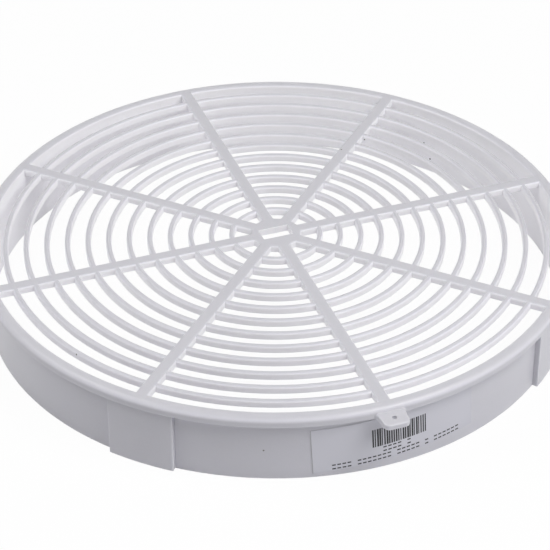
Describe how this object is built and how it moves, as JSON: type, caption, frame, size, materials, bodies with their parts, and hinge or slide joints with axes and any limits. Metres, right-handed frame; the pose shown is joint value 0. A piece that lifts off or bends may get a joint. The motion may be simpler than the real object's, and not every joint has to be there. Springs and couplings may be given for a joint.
{
  "type": "evaporator fan cover",
  "caption": "round white plastic grille of concentric rings on radial spokes, closing the top of a short skirt that drops into a fan opening, with a screw ear on its flange",
  "frame": {"origin": "on the cover's axis, in the plane of the flange's underside, which rests on the panel round the fan's opening", "axes": "+Z is the cover's axis, out of the grille's face; -Y points to the screw ear; X completes the frame"},
  "size_m": [0.2776, 0.2868, 0.0357],
  "materials": {
    "white_plastic": "moulded white plastic with a satin surface",
    "label_paper": "white paper label with a faint sheen"
  },
  "bodies": {
    "root": {"fan_cover": "white_plastic", "label": "label_paper"}
  },
  "joints": []
}
